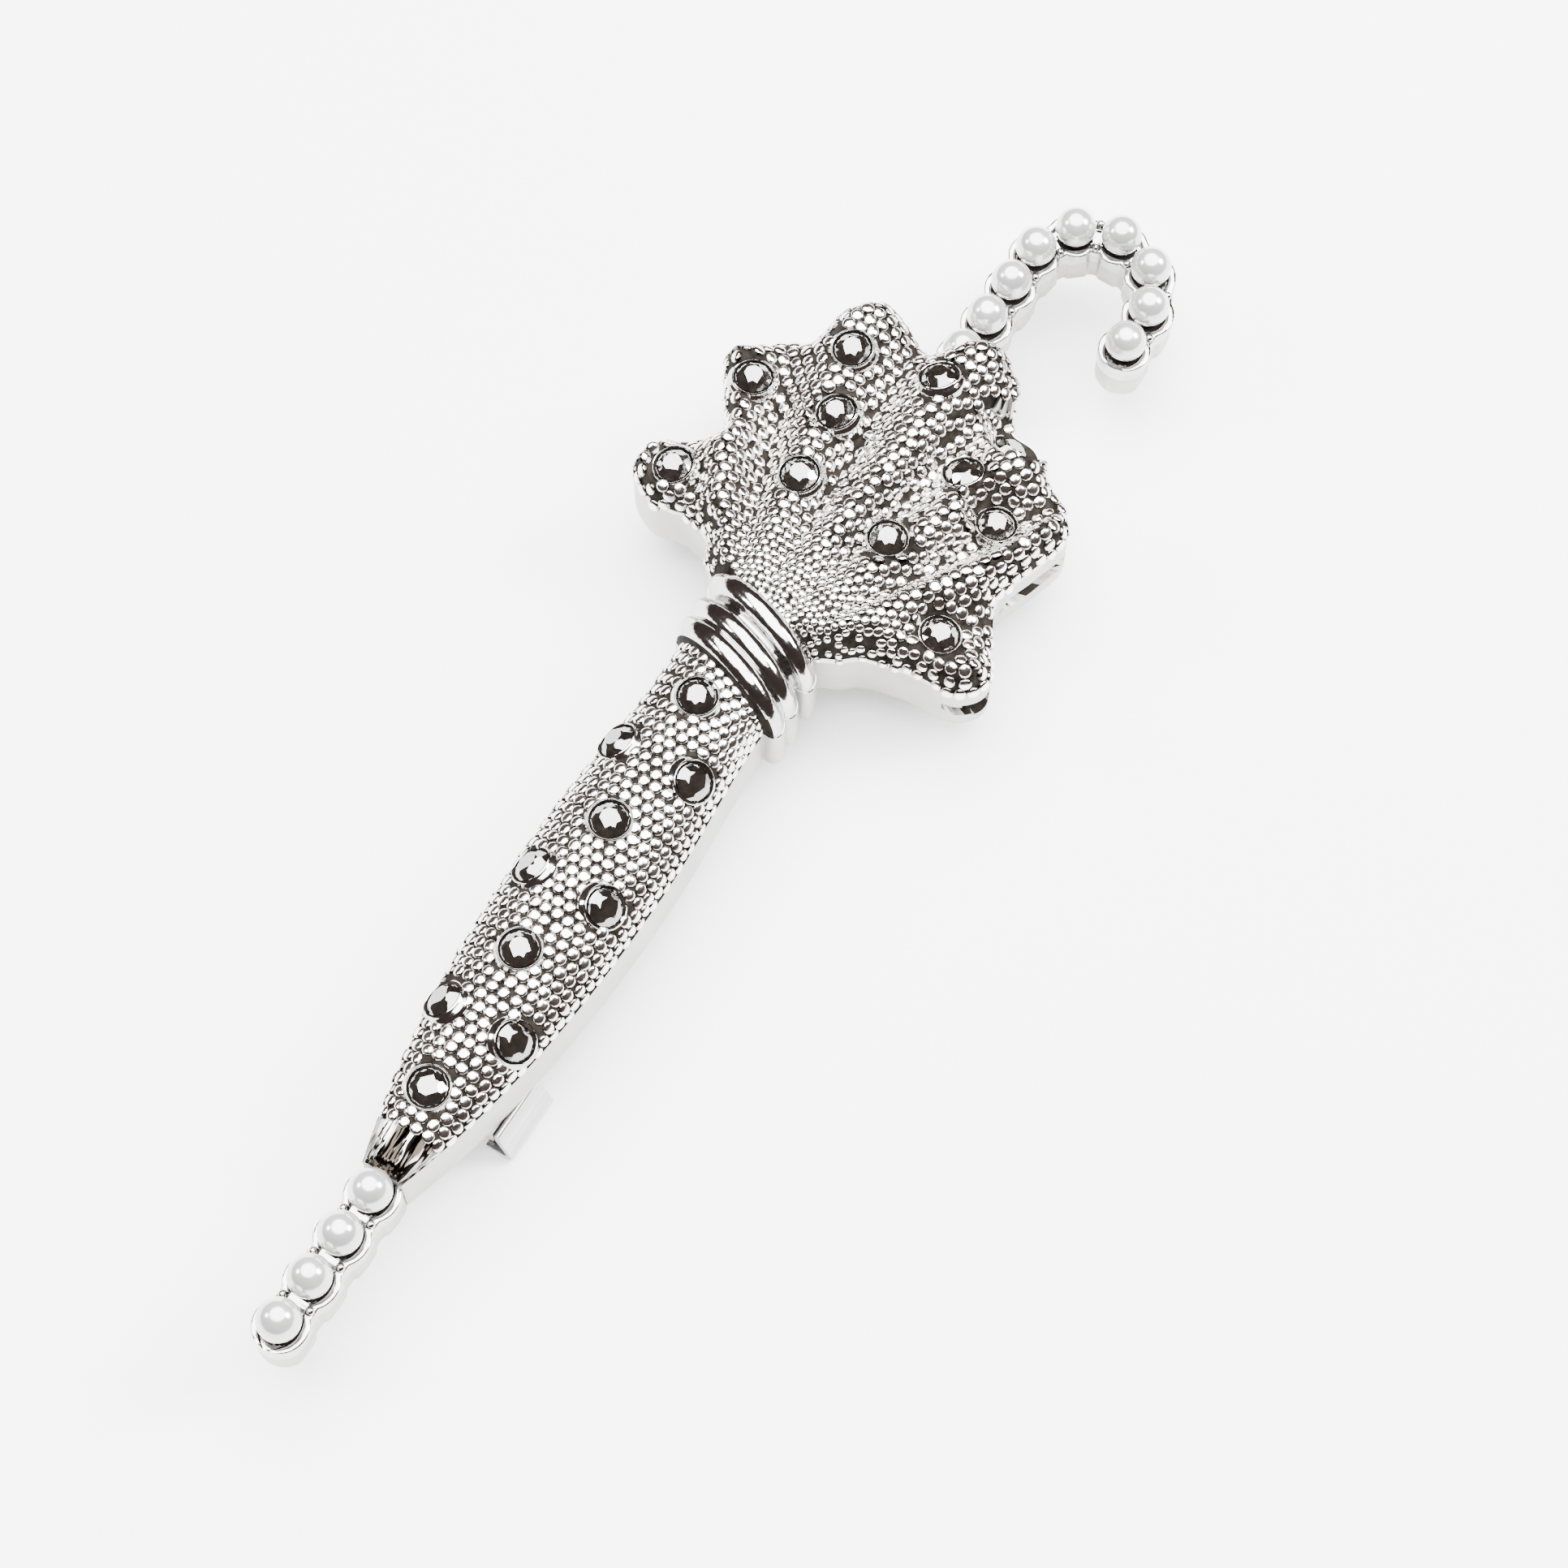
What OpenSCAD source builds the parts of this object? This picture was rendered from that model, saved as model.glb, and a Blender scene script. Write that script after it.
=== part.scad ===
// Hair clip in the form of a closed parasol: one zinc casting with cut stones and
// imitation pearls in its seats, and a spring barrette riveted to its back.
// Millimetres. +X runs from the parasol's tip to its handle, +Y to the left, +Z out of the
// decorated face. The origin is the middle of the flat underside of the closed lock arm.

/* [Casting] */
// Height of the plain side walls of the casting
wall_h = 4.2; // [3.8:0.1:5.2]
// Thickness of the casting's walls around its hollow back
shell_t = 1.4; // [1.0:0.1:1.7]
// Depth of the hollow in the back
hollow_h = 2.4; // [1.6:0.1:2.6]
// Full width of the rolled canopy at its widest
body_w = 9.6; // [8.8:0.1:11.6]
// Height of the rolled canopy's rounded crown above the side walls
crown_h = 3.1; // [2.5:0.1:3.8]
// Full width of the neck beside the collar rings
neck_w = 8.2; // [7.4:0.1:9.4]
// How far the collar rings stand out of the neck
ring_h = 1.1; // [0.8:0.1:1.5]
// Rise of the pleat crests above the side walls
pleat_h = 2.5; // [1.8:0.1:3.2]
// Size of the pleated hem, as a factor on its outline
hem_scale = 1; // [0.9:0.01:1.2]

/* [Pearls] */
// Diameter of a pearl
pearl_d = 3.0; // [2.5:0.1:3.3]
// Distance between the pearls of the tip
tip_pitch = 3.4; // [3.35:0.05:4.1]
// Distance between the pearls of the handle, along its curve
hook_pitch = 3.5; // [3.4:0.05:3.7]
// Radius of the handle's hook, at the middle of the pearls
hook_r = 4.85; // [4.4:0.05:5.8]
// Metal around a pearl
pearl_rim = 0.45; // [0.35:0.05:0.6]

/* [Stones] */
// Diameter of a cut stone at its girdle
stone_d = 2.6; // [2.1:0.1:3.1]
// Metal ring around a stone
stone_rim = 0.3; // [0.2:0.05:0.5]
// Distance between the stones along the middle of the rolled canopy
stone_pitch = 10.85; // [9.5:0.05:11.4]
// How far the side stones stand off the middle
stone_side = 3.1; // [2.7:0.05:3.4]

/* [Barrette] */
// Length of the barrette from the clasp's end to the hinge's end
bar_l = 60; // [54:1:66]
// Width of the base bar
bar_w = 7.0; // [6.4:0.1:8.4]
// Thickness of the base bar
bar_t = 0.8; // [0.6:0.1:1.0]
// Depth from the back of the casting to the underside of the lock arm
clip_h = 4.0; // [3.7:0.1:5.2]
// Width of the lock arm
arm_w = 5.0; // [4.6:0.1:5.4]
// Thickness of the lock arm
arm_t = 0.7; // [0.5:0.1:0.9]
// Diameter of the hinge pin
pin_d = 1.2; // [0.9:0.1:1.4]
// Thickness of the sheet of the ears and lugs
ear_t = 0.45; // [0.35:0.05:0.55]
// Length of the clasp along the bar
clasp_l = 5.2; // [4.4:0.1:6.2]
// Thickness of the tension bar
spring_t = 0.35; // [0.25:0.05:0.45]
// Diameter of the posts that hold the base bar
post_d = 1.6; // [1.2:0.1:1.9]

/* [Hidden] */

fn_round = 48;
fn_seat = 24;
eps = 0.01;

// Clearances
seat_gap = 0.03;
pin_gap = 0.06;
post_gap = 0.05;
stake_t = 0.3;
fold_gap = 0.06;
catch_gap = 0.1;

// Heights
back_z = clip_h;
bar_z = back_z - bar_t;
pearl_z = back_z + wall_h;
pearl_rise = 1.0;
strip_top = pearl_z - pearl_rise;
pin_z = max(arm_t + pin_d / 2 + 0.25, 1.55);

// The rolled canopy, from its point to the collar
tip_x = -48.5;
tip_count = 4;
body_tip_x = -37;
body_wide_x = -11;
neck_x = 2.4;
body_stations = 14;
body_power = 2.4;
ring_x = [5.2, 6.9, 9.3];
ring_wx = 1.05;
ring_slant = 0.3;
collar_end_x = 10.6;
collar_stations = 18;
section_steps = 8;

// The handle
hook_count = 9;
hook_x = 36.8;
hook_arc_x = 46.6;
strip_w = 3.0;

// The pleated hem: its outline around hem_c, and the pleats seen from hem_v
hem_c = [16.5, 0];
hem_v = [3, 0];
hem_keys = [
    [11.4, 5.8], [13.4, 7.2], [14.3, 9.5], [14.0, 12.3], [15.7, 14.8], [18.5, 14.3],
    [21.2, 11.1], [24.4, 12.7], [27.3, 14.1], [29.5, 12.2],
    [31.6, 9.5], [34.6, 8.9], [36.8, 6.6], [36.1, 4.0],
    [34.9, 1.8], [37.0, 0.2], [38.0, -2.5], [36.3, -4.8],
    [33.8, -6.1], [33.2, -8.5], [30.3, -11.1],
    [29.0, -13.1], [26.7, -14.4], [23.8, -13.7],
    [20.2, -12.7], [17.0, -14.1], [14.2, -15.4], [12.3, -13.9],
    [12.0, -10.4], [11.2, -7.1], [9.9, -5.2], [8, 0]];
hem_steps = 2;
hem_rings = [0.3, 0.58, 0.8, 0.93, 1];
// Directions of the pleat crests (1) and valleys (0), in degrees from hem_v
pleats = [[-180, 0.3], [-80, 0.3], [-60, 1], [-41, 0], [-31, 1], [-25.5, 0.1], [-18, 1],
    [-9.5, 0.1], [-3, 1], [5, 0.25], [13, 1], [21, 0.1], [30, 1], [37, 0.1],
    [46, 1], [66, 0.3], [180, 0.3]];

function ease(t) = (1 - cos(180 * min(1, max(0, t)))) / 2;
function half_round(t) = abs(t) < 1 ? sqrt(1 - t * t) : 0;
function mix(a, b, t) = a + (b - a) * t;

// Rolled canopy: half width, crown and height of the surface above the casting's back
function ring_rise(x) = max([for (r = ring_x) half_round((x - r) / ring_wx)]);
function taper(x) = min(1, max(0, (body_wide_x - x) / (body_wide_x - body_tip_x)));
function body_hw(x) =
    x < body_wide_x
    ? mix(1.45, body_w / 2, 1 - pow(taper(x), body_power))
    : mix(body_w / 2, neck_w / 2, ease((x - body_wide_x) / (neck_x - body_wide_x)))
        + ring_h * ring_rise(x);
function body_crown(x) =
    x < body_wide_x
    ? mix(0.3, crown_h, 1 - pow(taper(x), body_power))
    : crown_h + ring_h * ring_rise(x);
function body_z(x, y) =
    wall_h + body_crown(x) * sqrt(max(0, 1 - pow(y / body_hw(x), 2)));

// Pleated hem: a closed Catmull-Rom curve through hem_keys, and the pleated surface
function key(i) =
    let (k = hem_keys[(i + len(hem_keys)) % len(hem_keys)])
    hem_c + (k - hem_c) * hem_scale;
function curve(i, t) =
    let (a = key(i - 1), b = key(i), c = key(i + 1), d = key(i + 2))
    0.5 * (2 * b + (c - a) * t + (2 * a - 5 * b + 4 * c - d) * t * t
        + (3 * b - a - 3 * c + d) * t * t * t);
hem_outline = [for (i = [0:len(hem_keys) - 1]) for (s = [0:hem_steps - 1])
    curve(i, s / hem_steps)];
function pleat(x, y) = ease(lookup(atan2(y - hem_v[1], x - hem_v[0]), pleats));
function hem_z(x, y) =
    let (d = norm([x, y] - hem_v), out = ease((d - 7) / 16),
        crest = mix(3.1, pleat_h, out), valley = mix(2.9, 0.5, out))
    wall_h + mix(valley, crest, pleat(x, y));
function shoulder(s) = s > 0.8 ? sqrt(max(0, 1 - pow((s - 0.8) / 0.2, 2))) : 1;
function hem_point(p, s) =
    let (q = hem_c + (p - hem_c) * s)
    [q[0], q[1], mix(wall_h, hem_z(q[0], q[1]), shoulder(s))];

// Pearl places
function tip_place(i) = [tip_x + i * tip_pitch, 0];
hook_straight = hook_arc_x - hook_x;
hook_arc = PI * hook_r;
function hook_place(s) =
    s < hook_straight
    ? [hook_x + s, 0]
    : s < hook_straight + hook_arc
    ? let (a = (s - hook_straight) / hook_r * 180 / PI)
        [hook_arc_x + hook_r * sin(a), -hook_r * (1 - cos(a))]
    : [hook_arc_x - (s - hook_straight - hook_arc), -2 * hook_r];

// Stone places: [x, y] on the surface, and how far the stone leans, in degrees, with the
// direction that it leans towards
mid_x = 1.6;
mid_y = 0.3;
side_lag = 5.3;
canopy_places = [
    for (i = [0:3]) [mid_x - i * stone_pitch, mid_y, i == 3 ? 8 : 0, 180],
    for (i = [0:2]) [mid_x - side_lag - i * stone_pitch, mid_y + stone_side - 0.25 * i, 38, 90],
    for (i = [0:2]) [mid_x - side_lag - i * stone_pitch, mid_y - stone_side, 34, -90]];
hem_places = [
    [16.6, 11.9, 12, 120], [25.8, 11.0, 4, 0], [31.2, 6.0, 6, 150], [26.2, 4.3, 12, 100],
    [20.3, 3.7, 6, 120], [32.6, -0.4, 22, 60], [27.1, -5.7, 20, 60], [25.0, -9.7, 8, 0],
    [19.4, -4.1, 4, 0], [15.2, -10.9, 10, -60]];
rear_place = [32.3, -6.9];
rear_z = 2.4;
function hem_place(i) =
    concat(hem_c + ([hem_places[i][0], hem_places[i][1]] - hem_c) * hem_scale,
        [hem_places[i][2], hem_places[i][3]]);
stone_r = stone_d / 2;
crown_t = stone_d * 0.2;
table_r = stone_r * 0.55;
culet_t = stone_d * 0.36;
cup_r = stone_r + stone_rim;
cup_h = 0.35;
seat_floor_r = 0.3;

module on_canopy(i) {
    p = canopy_places[i];
    translate([p[0], p[1], back_z + body_z(p[0], p[1]) + 0.1])
        rotate([0, 0, p[3]])
            rotate([0, p[2], 0])
                children();
}

module on_hem(i) {
    if (i < len(hem_places)) {
        p = hem_place(i);
        translate([p[0], p[1], back_z + hem_z(p[0], p[1]) + 0.1])
            rotate([0, 0, p[3]])
                rotate([0, p[2], 0])
                    children();
    } else {
        p = hem_c + (rear_place - hem_c) * hem_scale;
        translate([p[0], p[1], back_z + rear_z])
            rotate([0, 0, -20])
                rotate([0, 40, 0])
                    children();
    }
}

// One cut stone: crown, girdle and pavilion, with its girdle at z = 0
module stone() {
    rotate_extrude($fn = fn_round)
        polygon([[0, -culet_t], [stone_r, -0.15], [stone_r, 0.05], [table_r, crown_t],
            [0, crown_t]]);
}

// The metal that stands up around a stone
module stone_cup() {
    translate([0, 0, -1.2])
        cylinder(r = cup_r, h = 1.2 + cup_h - 0.2, $fn = fn_seat);
}

// The room that a stone and its open mouth need in the metal
module stone_seat() {
    r = stone_r + seat_gap;
    rotate_extrude($fn = fn_seat)
        polygon([[0, -culet_t - 0.06], [seat_floor_r, -culet_t - 0.06], [r, -0.2], [r, 2.4],
            [0, 2.4]]);
}

// Cross-section of the rolled canopy as a ring of points, from the right wall to the left
function section(x, slant) = concat(
    [[x - slant * body_hw(x), -body_hw(x), 0]],
    [for (j = [0:section_steps])
        let (a = -90 + 180 * j / section_steps, y = body_hw(x) * sin(a))
        [x + slant * y, y, wall_h + body_crown(x) * cos(a)]],
    [[x + slant * body_hw(x), body_hw(x), 0]]);

body_xs = concat(
    [for (i = [0:body_stations - 1])
        mix(body_tip_x, neck_x, ease(i / body_stations) * 0.3 + 0.7 * i / body_stations)],
    [for (i = [0:collar_stations]) mix(neck_x, collar_end_x, i / collar_stations)]);

module canopy() {
    n = section_steps + 3;
    m = len(body_xs);
    points = [for (x = body_xs)
        each section(x, ring_slant * ease((x - neck_x + 4) / 6))];
    first = [[for (j = [0:n - 1]) n - 1 - j]];
    last = [[for (j = [0:n - 1]) (m - 1) * n + j]];
    sides = [for (i = [0:m - 2]) for (j = [0:n - 1])
        let (a = i * n + j, b = i * n + (j + 1) % n)
        each [[a, b, a + n], [b, b + n, a + n]]];
    polyhedron(points = points, faces = concat(first, last, sides));
}

module hem() {
    n = len(hem_outline);
    m = len(hem_rings);
    top = [for (s = hem_rings) for (p = hem_outline) hem_point(p, s)];
    foot = [for (p = hem_outline) [p[0], p[1], 0]];
    centre = [[hem_c[0], hem_c[1], hem_z(hem_c[0], hem_c[1])], [hem_c[0], hem_c[1], 0]];
    points = concat(top, foot, centre);
    crown = [for (j = [0:n - 1]) [m * n + n, j, (j + 1) % n]];
    skin = [for (i = [0:m - 1]) for (j = [0:n - 1])
        let (a = i * n + j, b = i * n + (j + 1) % n)
        each [[a, a + n, b], [b, a + n, b + n]]];
    base = [for (j = [0:n - 1]) [m * n + n + 1, m * n + (j + 1) % n, m * n + j]];
    polyhedron(points = points, faces = concat(crown, skin, base));
}

// A row of cups for pearls: a plain strip with a round rim under every pearl
module pearl_rim_at(p) {
    translate([p[0], p[1], 0])
        cylinder(r = pearl_d / 2 + pearl_rim, h = strip_top - back_z, $fn = fn_seat);
}

module tip_strip() {
    for (i = [0:tip_count - 1])
        pearl_rim_at(tip_place(i));
    translate([tip_x, -strip_w / 2, 0])
        cube([body_tip_x + 2 - tip_x, strip_w, strip_top - back_z - 0.5]);
}

module handle_strip() {
    low = strip_top - back_z - 0.5;
    for (i = [0:hook_count - 1])
        pearl_rim_at(hook_place(i * hook_pitch));
    translate([hook_x - 6, -strip_w / 2, 0])
        cube([hook_straight + 6, strip_w, low]);
    translate([hook_arc_x, -hook_r, 0])
        rotate([0, 0, -90])
            rotate_extrude(angle = 180, $fn = 48)
                translate([hook_r - strip_w / 2, 0])
                    square([strip_w, low]);
    leg = (hook_count - 1) * hook_pitch - hook_straight - hook_arc;
    if (leg > 0)
        translate([hook_arc_x - leg, -2 * hook_r - strip_w / 2, 0])
            cube([leg, strip_w, low]);
}

// The back is hollow under the hem and under the rolled canopy
post_x = bar_l / 2 - 9;

module hollow() {
    linear_extrude(hollow_h + 1)
        offset(delta = -shell_t)
            union() {
                polygon([for (i = [0:2:len(hem_outline) - 1]) hem_outline[i]]);
                polygon(concat(
                    [for (i = [4:3:len(body_xs) - 1])
                        let (x = body_xs[i], w = body_hw(x) - ring_h * ring_rise(x)) [x, -w]],
                    [for (i = [len(body_xs) - 1:-3:4])
                        let (x = body_xs[i], w = body_hw(x) - ring_h * ring_rise(x)) [x, w]]));
            }
}

// A post's end is staked into a countersink, flush with the underside of the base bar
module staked_posts(gap) {
    r = post_d / 2 + gap;
    for (side = [-1, 1])
        translate([side * post_x, 0, 0]) {
            translate([0, 0, bar_z])
                cylinder(r1 = r + stake_t, r2 = r, h = stake_t, $fn = fn_seat);
            translate([0, 0, bar_z + stake_t / 2])
                cylinder(r = r, h = bar_t + 1, $fn = fn_seat);
        }
}

module bosses() {
    for (side = [-1, 1])
        translate([side * post_x, 0, back_z])
            cylinder(r = post_d, h = hollow_h + 0.6, $fn = fn_seat);
}

// The seat under a pearl, which rests on its floor, and the room that the pearl needs above
// its strip where it sits against the canopy or the hem
module pearl_seat(p) {
    low_r = sqrt(pearl_d * pearl_d / 4 - pearl_rise * pearl_rise) + 0.12;
    floor_z = pearl_z - pearl_d / 2 - seat_gap;
    translate([p[0], p[1], floor_z])
        cylinder(r = low_r, h = pearl_d, $fn = fn_seat);
    translate([p[0], p[1], strip_top])
        cylinder(r = pearl_d / 2 + 2 * seat_gap, h = pearl_d, $fn = fn_seat);
}

module casting() {
    color([0.80, 0.80, 0.82])
        difference() {
            union() {
                translate([0, 0, back_z])
                    difference() {
                        union() {
                            canopy();
                            hem();
                            tip_strip();
                            handle_strip();
                        }
                        translate([0, 0, -1])
                            hollow();
                    }
                bosses();
                staked_posts(0);
                for (i = [0:len(canopy_places) - 1])
                    on_canopy(i)
                        stone_cup();
                for (i = [0:len(hem_places)])
                    on_hem(i)
                        stone_cup();
            }
            for (i = [0:len(canopy_places) - 1])
                on_canopy(i)
                    stone_seat();
            for (i = [0:len(hem_places)])
                on_hem(i)
                    stone_seat();
            for (i = [0:tip_count - 1])
                pearl_seat(tip_place(i));
            for (i = [0:hook_count - 1])
                pearl_seat(hook_place(i * hook_pitch));
        }
}

module pearl(p) {
    color([0.95, 0.94, 0.92])
        translate([p[0], p[1], pearl_z])
            sphere(r = pearl_d / 2, $fn = fn_round);
}

module tip_pearl(i) {
    pearl(tip_place(i));
}

module handle_pearl(i) {
    pearl(hook_place(i * hook_pitch));
}

module canopy_stone(i) {
    color([0.85, 0.88, 0.90])
        on_canopy(i)
            stone();
}

module hem_stone(i) {
    color([0.85, 0.88, 0.90])
        on_hem(i)
            stone();
}

// Barrette
bar_x0 = -bar_l / 2;
hinge_x = bar_l / 2 - 2.4;
lug_r = pin_z;
plate_z = bar_z - ear_t;
head_w = 6.0;
neck_arm_w = 4.4;
spring_w = 3.2;
spring_x0 = bar_x0 + clasp_l + 1.4;
spring_x1 = hinge_x - 3.4;
clip_tab = 1.2;

// A lug: a disc around the pin joined to a plate above or below it
module lug(y, r, z_far, reach) {
    translate([hinge_x, y + ear_t, pin_z])
        rotate([90, 0, 0])
            cylinder(r = r, h = ear_t, $fn = fn_round);
    translate([hinge_x - reach, y, min(pin_z, z_far)])
        cube([2 * reach, ear_t, abs(z_far - pin_z)]);
}

module pin_hole(gap) {
    translate([hinge_x, bar_w, pin_z])
        rotate([90, 0, 0])
            cylinder(r = pin_d / 2 + gap, h = 2 * bar_w, $fn = fn_round);
}

// A bridge that holds one end of the tension bar against the base bar
module spring_tab(x) {
    drop = spring_t + 0.65;
    difference() {
        translate([x, -spring_w / 2 - 0.5, bar_z - drop])
            cube([clip_tab, spring_w + 1, drop + eps]);
        translate([x - 1, -spring_w / 2 - 0.1, bar_z - drop + 0.3])
            cube([clip_tab + 2, spring_w + 0.2, drop]);
    }
}

module base_bar() {
    color([0.72, 0.72, 0.73])
        difference() {
            union() {
                translate([bar_x0, -bar_w / 2, bar_z])
                    cube([bar_l, bar_w, bar_t]);
                for (y = [-bar_w / 2, bar_w / 2 - ear_t])
                    lug(y, lug_r, bar_z + bar_t / 2, lug_r);
                spring_tab(spring_x0 + 0.3);
                spring_tab(spring_x1 - 0.3 - clip_tab);
            }
            pin_hole(0);
            staked_posts(post_gap);
        }
}

module clasp_plate() {
    color([0.72, 0.72, 0.73])
        translate([bar_x0, -bar_w / 2, plate_z])
            cube([clasp_l, bar_w, ear_t]);
}

// A clasp ear leans out as it goes down, and its lower edge is folded in under the lock arm
ear_top = back_z - 0.15 - ear_t / 2;
ear_y = bar_w / 2 + fold_gap;
ear_lean = 0.75;
flange_y = head_w / 2 - 0.4;
ear_corner = 0.6;

module ear_section() {
    low_y = ear_y + ear_lean;
    polygon([[ear_y, ear_top], [ear_y + ear_t, ear_top], [ear_y + ear_t, plate_z + 0.1],
        [low_y + ear_t, ear_corner], [low_y + ear_t - 0.12, 0.2], [low_y + ear_t - 0.45, 0],
        [flange_y, 0], [flange_y, ear_t], [low_y - 0.2, ear_t], [low_y, ear_corner + 0.15],
        [ear_y, plate_z]]);
}

module clasp_ear(side) {
    ear_l = clasp_l - 0.2;
    color([0.78, 0.78, 0.79])
        translate([bar_x0 + 0.1, 0, 0])
            mirror([0, side < 0 ? 1 : 0, 0])
                rotate([90, 0, 90])
                    union() {
                        linear_extrude(ear_l)
                            ear_section();
                        translate([ear_y + ear_t / 2, ear_top])
                            cylinder(r = ear_t / 2, h = ear_l, $fn = fn_round);
                    }
}

module clasp_ear_left() {
    clasp_ear(1);
}

module clasp_ear_right() {
    clasp_ear(-1);
}

// The tension bar is a strip bent to an arc between the two bridges
module tension_bar() {
    chord = spring_x1 - spring_x0;
    sag = bar_z - spring_t - arm_t - 0.45;
    bow_r = (chord * chord / 4 + sag * sag) / (2 * sag);
    half_a = asin(chord / 2 / bow_r);
    top_r = bow_r - spring_t;
    color([0.66, 0.66, 0.68])
        translate([(spring_x0 + spring_x1) / 2, spring_w / 2, bar_z - 0.03 + top_r * cos(half_a)])
            rotate([90, 0, 0])
                rotate([0, 0, -90 - half_a])
                    rotate_extrude(angle = 2 * half_a, $fn = 720)
                        translate([top_r, 0])
                            square([spring_t, spring_w]);
}

// The lock arm: a flat strip with two lugs at the hinge and a raised T-shaped head that
// rests on the folded edges of the ears
head_z = ear_t + catch_gap;
step_x = bar_x0 + clasp_l + 0.6;

module lock_arm() {
    far_x = hinge_x + 0.5;
    head_x = bar_x0 + 0.5;
    color([0.75, 0.75, 0.76])
        difference() {
            union() {
                translate([step_x, -arm_w / 2, 0])
                    cube([far_x - step_x, arm_w, arm_t]);
                translate([head_x, -neck_arm_w / 2, head_z])
                    cube([step_x + 0.6 - head_x, neck_arm_w, arm_t]);
                translate([step_x, -neck_arm_w / 2, 0])
                    cube([0.6, neck_arm_w, head_z + arm_t]);
                translate([head_x, -head_w / 2, head_z])
                    cube([clasp_l - 1.4, head_w, arm_t]);
                for (y = [-arm_w / 2, arm_w / 2 - ear_t])
                    lug(y, pin_d / 2 + 0.5, arm_t / 2, pin_d / 2 + 0.5);
            }
            pin_hole(pin_gap);
        }
}

module hinge_pin() {
    color([0.70, 0.70, 0.71])
        translate([hinge_x, 0, pin_z])
            rotate([90, 0, 0]) {
                cylinder(r = pin_d / 2, h = bar_w, center = true, $fn = fn_round);
                for (side = [-1, 1])
                    translate([0, 0, side * (bar_w / 2 + 0.15)])
                        cylinder(r = pin_d / 2 + 0.35, h = 0.3, center = true, $fn = fn_round);
            }
}

casting();
for (i = [0:tip_count - 1])
    tip_pearl(i);
for (i = [0:hook_count - 1])
    handle_pearl(i);
for (i = [0:len(canopy_places) - 1])
    canopy_stone(i);
for (i = [0:len(hem_places)])
    hem_stone(i);
base_bar();
clasp_plate();
clasp_ear_left();
clasp_ear_right();
tension_bar();
lock_arm();
hinge_pin();
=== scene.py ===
# %% [markdown]
# # A closed parasol on a spring barrette
# The ornament is one zinc casting with a bright plating. Its relief is a rolled, pebbled canopy,
# a polished collar and a pleated hem, with cut stones and imitation pearls set into it. The
# barrette riveted to its back is sheet metal and already has its true shape in the frame, so it
# only needs finishes. The casting, the stones and the pearls are modelled here.

# %% Load the frame
import math
import random

import bpy
import numpy as np
from mathutils import Matrix, Vector


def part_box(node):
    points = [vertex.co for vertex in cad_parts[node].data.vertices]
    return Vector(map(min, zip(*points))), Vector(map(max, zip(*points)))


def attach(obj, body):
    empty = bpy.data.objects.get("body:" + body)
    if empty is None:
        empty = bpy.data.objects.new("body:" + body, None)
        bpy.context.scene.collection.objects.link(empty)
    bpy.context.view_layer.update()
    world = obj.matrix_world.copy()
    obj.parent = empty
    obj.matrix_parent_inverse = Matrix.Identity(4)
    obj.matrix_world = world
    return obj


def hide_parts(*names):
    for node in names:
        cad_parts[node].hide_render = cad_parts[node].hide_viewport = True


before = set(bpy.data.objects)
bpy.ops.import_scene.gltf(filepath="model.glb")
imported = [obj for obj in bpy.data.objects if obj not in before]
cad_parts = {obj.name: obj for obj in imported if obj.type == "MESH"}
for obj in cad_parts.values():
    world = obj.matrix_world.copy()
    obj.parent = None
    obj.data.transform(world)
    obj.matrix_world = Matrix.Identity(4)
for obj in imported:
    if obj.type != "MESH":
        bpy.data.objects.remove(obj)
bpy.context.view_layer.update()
MM = 0.001


def middle(node):
    """The middle of a CAD node's box, in millimetres."""
    low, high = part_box(node)
    return (low + high) / 2 / MM


# %% [markdown]
# ## The camera
# The clip lies face up and is seen from 65 degrees above the table, from close by with a longer
# lens. Its handle points away to the right.

# %% Camera
HEADING = math.radians(58.08)
ELEVATION = math.radians(65)
DISTANCE = 0.2335
LENS = 78.6
pearl_z = middle("tip_pearl_1").z
aim = Vector((0.4, -7.4, pearl_z)) * MM

right = Vector((math.cos(HEADING), -math.sin(HEADING), 0))
ahead = Vector((math.sin(HEADING), math.cos(HEADING), 0))
back = Vector((0, 0, 1)) * math.sin(ELEVATION) - ahead * math.cos(ELEVATION)
camera = bpy.data.objects.new("camera", bpy.data.cameras.new("camera"))
bpy.context.scene.collection.objects.link(camera)
turn = Matrix((right, back.cross(right), back)).transposed()
camera.matrix_world = Matrix.Translation(aim + back * DISTANCE) @ turn.to_4x4()
camera.data.lens = LENS
camera.data.clip_start = 0.005
bpy.context.scene.camera = camera
print("camera at", [round(c, 4) for c in camera.matrix_world.translation])

# %% [markdown]
# ## Helpers for modelling
# Every operator works on what is selected, so a piece is selected alone first. A sheet that
# follows a formula starts as a flat grid primitive, and each of its vertices is then moved to
# its place. Its seam is merged, its open ends are filled and its faces are turned outwards.


# %% Modelling helpers
def pick(piece):
    """Selects this piece alone."""
    bpy.ops.object.select_all(action="DESELECT")
    piece.select_set(True)
    bpy.context.view_layer.objects.active = piece


def added(name):
    """Names the primitive that was just added."""
    piece = bpy.context.active_object
    piece.name = piece.data.name = name
    return piece


def settle(piece):
    """Puts a piece's place into its mesh, so that its object sits at the origin."""
    pick(piece)
    bpy.ops.object.transform_apply(location=True, rotation=True, scale=True)


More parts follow.
